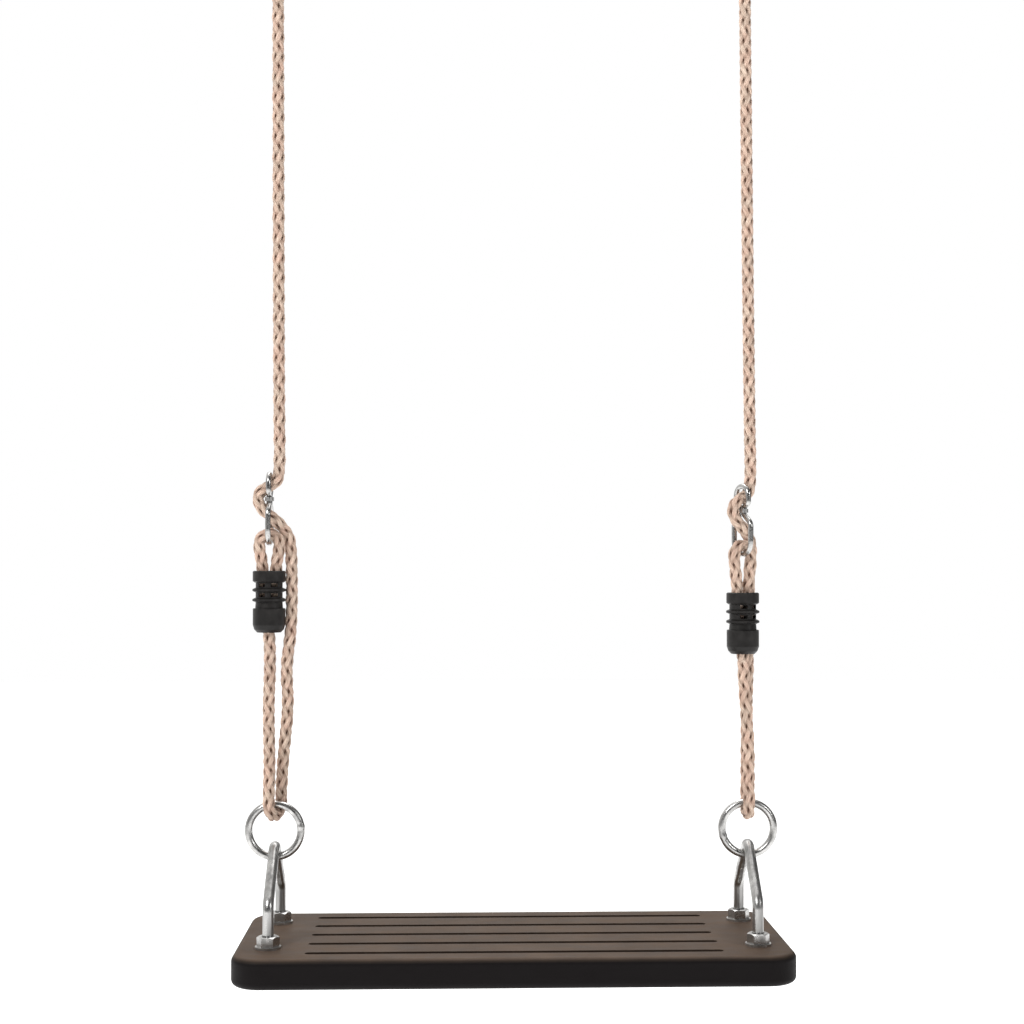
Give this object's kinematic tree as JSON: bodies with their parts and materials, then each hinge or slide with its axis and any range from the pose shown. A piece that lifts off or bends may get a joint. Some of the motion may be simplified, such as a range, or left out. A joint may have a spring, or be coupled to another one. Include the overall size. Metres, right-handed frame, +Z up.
{
  "type": "rubber swing seat on ropes",
  "caption": "Flat rubber swing seat hung by gable-shaped hanger bolts and steel rings on adjustable plaited ropes with plastic rope clamps.",
  "frame": {"origin": "midway between the centres of the two hanging rings", "axes": "+Z up, +X to the right of someone facing the swing's front, +Y towards the swing's back"},
  "size_m": [0.45, 0.185, 0.963],
  "materials": {
    "seat_rubber": "matte, very dark brown-grey",
    "insert_steel": "plain steel plate",
    "rope": "plaited synthetic hemp, light pinkish beige",
    "clamp_plastic": "satin black",
    "ring_steel": "bright zinc-plated steel",
    "adjuster_steel": "galvanised wire",
    "hanger_steel": "bright galvanised rod",
    "fastener_steel": "zinc-plated"
  },
  "bodies": {
    "hanging_rings": {"left_hanging_ring": "ring_steel", "right_hanging_ring": "ring_steel"},
    "left_rope_line": {"left_rope": "rope", "left_adjuster": "adjuster_steel", "left_adjuster_collar": "adjuster_steel", "left_top_clamp_shell_front": "clamp_plastic", "left_top_clamp_shell_back": "clamp_plastic", "left_top_clamp_cup": "clamp_plastic", "left_lower_clamp_shell_front": "clamp_plastic", "left_lower_clamp_shell_back": "clamp_plastic", "left_lower_clamp_cup": "clamp_plastic"},
    "right_rope_line": {"right_rope": "rope", "right_adjuster": "adjuster_steel", "right_adjuster_collar": "adjuster_steel", "right_top_clamp_shell_front": "clamp_plastic", "right_top_clamp_shell_back": "clamp_plastic", "right_top_clamp_cup": "clamp_plastic", "right_lower_clamp_shell_front": "clamp_plastic", "right_lower_clamp_shell_back": "clamp_plastic", "right_lower_clamp_cup": "clamp_plastic"},
    "left_ring": {"left_seat_ring": "ring_steel"},
    "right_ring": {"right_seat_ring": "ring_steel"},
    "seat": {"seat_rubber": "seat_rubber", "seat_insert": "insert_steel", "left_hanger_bolt": "hanger_steel", "right_hanger_bolt": "hanger_steel", "upper_washers": "fastener_steel", "upper_nuts": "fastener_steel", "lower_washers": "fastener_steel", "lower_lock_nuts": "fastener_steel"}
  },
  "joints": [
    {"name": "left_rope_swing", "type": "hinge", "parent": "hanging_rings", "child": "left_rope_line", "pos_m": [-0.198, 0, -0.02175], "axis": [1, 0, 0], "range_deg": [-60, 60]},
    {"name": "right_rope_swing", "type": "hinge", "parent": "hanging_rings", "child": "right_rope_line", "pos_m": [0.198, 0, -0.02175], "axis": [1, 0, 0], "range_deg": [-60, 60]},
    {"name": "left_ring_tilt", "type": "hinge", "parent": "left_rope_line", "child": "left_ring", "pos_m": [-0.198, 0, -0.80565], "axis": [1, 0, 0], "range_deg": [-40, 40]},
    {"name": "right_ring_tilt", "type": "hinge", "parent": "right_rope_line", "child": "right_ring", "pos_m": [0.198, 0, -0.80565], "axis": [1, 0, 0], "range_deg": [-40, 40]},
    {"name": "seat_tilt", "type": "hinge", "parent": "left_ring", "child": "seat", "pos_m": [-0.198, 0, -0.84915], "axis": [1, 0, 0], "range_deg": [-35, 35]}
  ],
  "couplings": [
    {"joint": "right_rope_swing", "follows": "left_rope_swing", "ratio": 1},
    {"joint": "right_ring_tilt", "follows": "left_ring_tilt", "ratio": 1}
  ]
}
